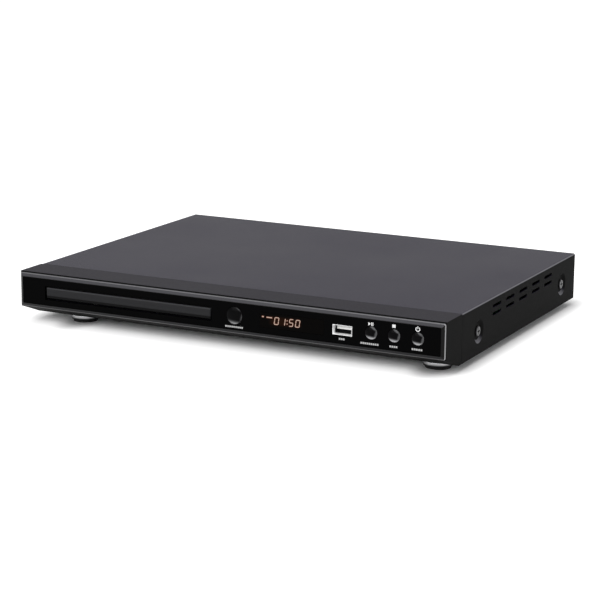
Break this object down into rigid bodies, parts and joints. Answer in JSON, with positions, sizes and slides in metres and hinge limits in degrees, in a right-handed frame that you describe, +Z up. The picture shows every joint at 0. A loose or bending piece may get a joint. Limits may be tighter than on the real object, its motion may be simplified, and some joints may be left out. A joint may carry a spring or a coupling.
{
  "type": "dvd player",
  "caption": "Low disc player with a motor driven tray, raised glossy fascia, domed buttons, readout window, USB socket, vented cover and round feet.",
  "frame": {"origin": "on the standing surface, below the middle of the overall width and depth", "axes": "+X to the right seen from the front, +Y to the back, +Z up"},
  "size_m": [0.34, 0.2714, 0.0407],
  "materials": {
    "moulded_front": "fine matt black moulding",
    "trim_black": "satin black raised frame",
    "fascia_gloss": "piano black plate",
    "window": "smoked window, flush and opaque when off",
    "cover_paint": "fine textured black paint",
    "zinc_sheet": "zinc plated sheet",
    "paint_black": "black paint on sheet",
    "silver_cup": "bright foot cups",
    "rubber_pad": "black rubber",
    "button_black": "domed gloss buttons",
    "door_black": "satin black door",
    "tray_plastic": "dark grey tray",
    "loader_plastic": "black loader moulding",
    "gear_white": "acetal gears and slides",
    "belt_rubber": "square belt",
    "steel": "bright steel",
    "screw_black": "blackened screws",
    "chrome_shell": "nickel plated shells",
    "socket_black": "black socket bodies",
    "socket_white": "white socket and jack parts",
    "socket_yellow": "yellow jack insert",
    "socket_red": "red jack insert",
    "board_green": "lacquered circuit board",
    "chip_black": "moulded electronics",
    "fin_aluminium": "finned block",
    "capacitor_blue": "sleeved cans",
    "transformer_tape": "taped winding",
    "lens_glass": "clear lens",
    "magnet_plastic": "clamp and turntable mouldings",
    "ribbon_white": "flat white ribbon",
    "sled_metal": "cast sled",
    "connector_cream": "ribbon connectors"
  },
  "bodies": {
    "chassis": {"front_panel": "moulded_front", "fascia_frame": "trim_black", "fascia": "fascia_gloss", "display_window": "window", "front_board": "board_green", "tact_switches": "chip_black", "display_module": "chip_black", "usb_shell": "chrome_shell", "usb_tongue": "socket_white", "remote_sensor": "chip_black", "top_cover": "cover_paint", "base_pan": "zinc_sheet", "rear_panel": "paint_black", "foot_cup_front_left": "silver_cup", "foot_cup_back_left": "silver_cup", "foot_cup_front_right": "silver_cup", "foot_cup_back_right": "silver_cup", "foot_pads": "rubber_pad", "loader_frame": "loader_plastic", "loading_motor": "steel", "loading_belt": "belt_rubber", "clamp_bridge": "zinc_sheet", "main_board": "board_green", "main_chip": "chip_black", "heat_sink": "fin_aluminium", "board_connectors": "connector_cream", "signal_ribbon": "ribbon_white", "power_board": "board_green", "transformer": "transformer_tape", "capacitors": "capacitor_blue", "jack_housing": "socket_black", "jack_shells": "chrome_shell", "jack_insert_yellow": "socket_yellow", "jack_insert_white": "socket_white", "jack_insert_red": "socket_red", "hdmi_socket": "chrome_shell", "mains_inlet": "socket_black", "cover_screws": "screw_black", "base_screws": "steel", "board_screws": "steel"},
    "tray": {"disc_tray": "tray_plastic", "tray_door": "door_black"},
    "drive_gear": {"drive_gear": "gear_white"},
    "pulley_gear": {"pulley_gear": "gear_white"},
    "motor_pulley": {"motor_pulley": "gear_white"},
    "cam_slide": {"cam_slide": "gear_white"},
    "deck": {"traverse_deck": "zinc_sheet", "spindle_motor": "steel", "guide_rod_left": "steel", "guide_rod_right": "steel", "sled_motor": "steel"},
    "turntable": {"turntable": "magnet_plastic"},
    "clamper": {"clamper": "magnet_plastic"},
    "sled": {"pickup_sled": "sled_metal", "objective_lens": "lens_glass"},
    "lead_screw": {"lead_screw": "steel"},
    "open_button": {"open_button": "button_black"},
    "play_button": {"play_button": "button_black"},
    "stop_button": {"stop_button": "button_black"},
    "power_button": {"power_button": "button_black"}
  },
  "joints": [
    {"name": "tray_slide", "type": "slide", "parent": "chassis", "child": "tray", "axis": [0, -1, 0], "range_m": [0, 0.134]},
    {"name": "drive_gear_spin", "type": "hinge", "parent": "chassis", "child": "drive_gear", "pos_m": [-0.124, -0.09475, 0.017], "axis": [0, 0, 1], "range_deg": [0, 768]},
    {"name": "pulley_gear_spin", "type": "hinge", "parent": "chassis", "child": "pulley_gear", "pos_m": [-0.1046, -0.10595, 0.017], "axis": [0, 0, 1], "range_deg": [-2816, 0]},
    {"name": "motor_pulley_spin", "type": "hinge", "parent": "chassis", "child": "motor_pulley", "pos_m": [-0.063, -0.09875, 0.017], "axis": [0, 0, 1], "range_deg": [-9384, 0]},
    {"name": "cam_shift", "type": "slide", "parent": "chassis", "child": "cam_slide", "axis": [1, 0, 0], "range_m": [0, 0.014]},
    {"name": "deck_tilt", "type": "hinge", "parent": "chassis", "child": "deck", "pos_m": [-0.078, 0.03725, 0.0184], "axis": [1, 0, 0], "range_deg": [0, 1.81]},
    {"name": "turntable_spin", "type": "hinge", "parent": "deck", "child": "turntable", "pos_m": [-0.078, -0.06075, 0.026], "axis": [0, 0, 1], "continuous": true},
    {"name": "clamper_spin", "type": "hinge", "parent": "chassis", "child": "clamper", "pos_m": [-0.078, -0.06075, 0.032], "axis": [0, 0, 1], "continuous": true},
    {"name": "sled_slide", "type": "slide", "parent": "deck", "child": "sled", "axis": [0, 1, 0], "range_m": [0, 0.034]},
    {"name": "lead_screw_spin", "type": "hinge", "parent": "deck", "child": "lead_screw", "pos_m": [-0.0405, -0.01275, 0.0156], "axis": [0, 1, 0], "range_deg": [0, 4081]},
    {"name": "open_press", "type": "slide", "parent": "chassis", "child": "open_button", "axis": [0, 1, 0], "range_m": [0, 0.0008], "stiffness_N_per_m": 600},
    {"name": "play_press", "type": "slide", "parent": "chassis", "child": "play_button", "axis": [0, 1, 0], "range_m": [0, 0.0008], "stiffness_N_per_m": 600},
    {"name": "stop_press", "type": "slide", "parent": "chassis", "child": "stop_button", "axis": [0, 1, 0], "range_m": [0, 0.0008], "stiffness_N_per_m": 600},
    {"name": "power_press", "type": "slide", "parent": "chassis", "child": "power_button", "axis": [0, 1, 0], "range_m": [0, 0.0008], "stiffness_N_per_m": 600}
  ],
  "couplings": [
    {"joint": "drive_gear_spin", "follows": "tray_slide", "rad_per_m": 100},
    {"joint": "pulley_gear_spin", "follows": "tray_slide", "rad_per_m": -366.67},
    {"joint": "motor_pulley_spin", "follows": "tray_slide", "rad_per_m": -1222.2},
    {"joint": "deck_tilt", "follows": "cam_shift", "rad_per_m": 2.244},
    {"joint": "clamper_spin", "follows": "turntable_spin", "ratio": 1},
    {"joint": "lead_screw_spin", "follows": "sled_slide", "rad_per_m": 2094.4}
  ]
}
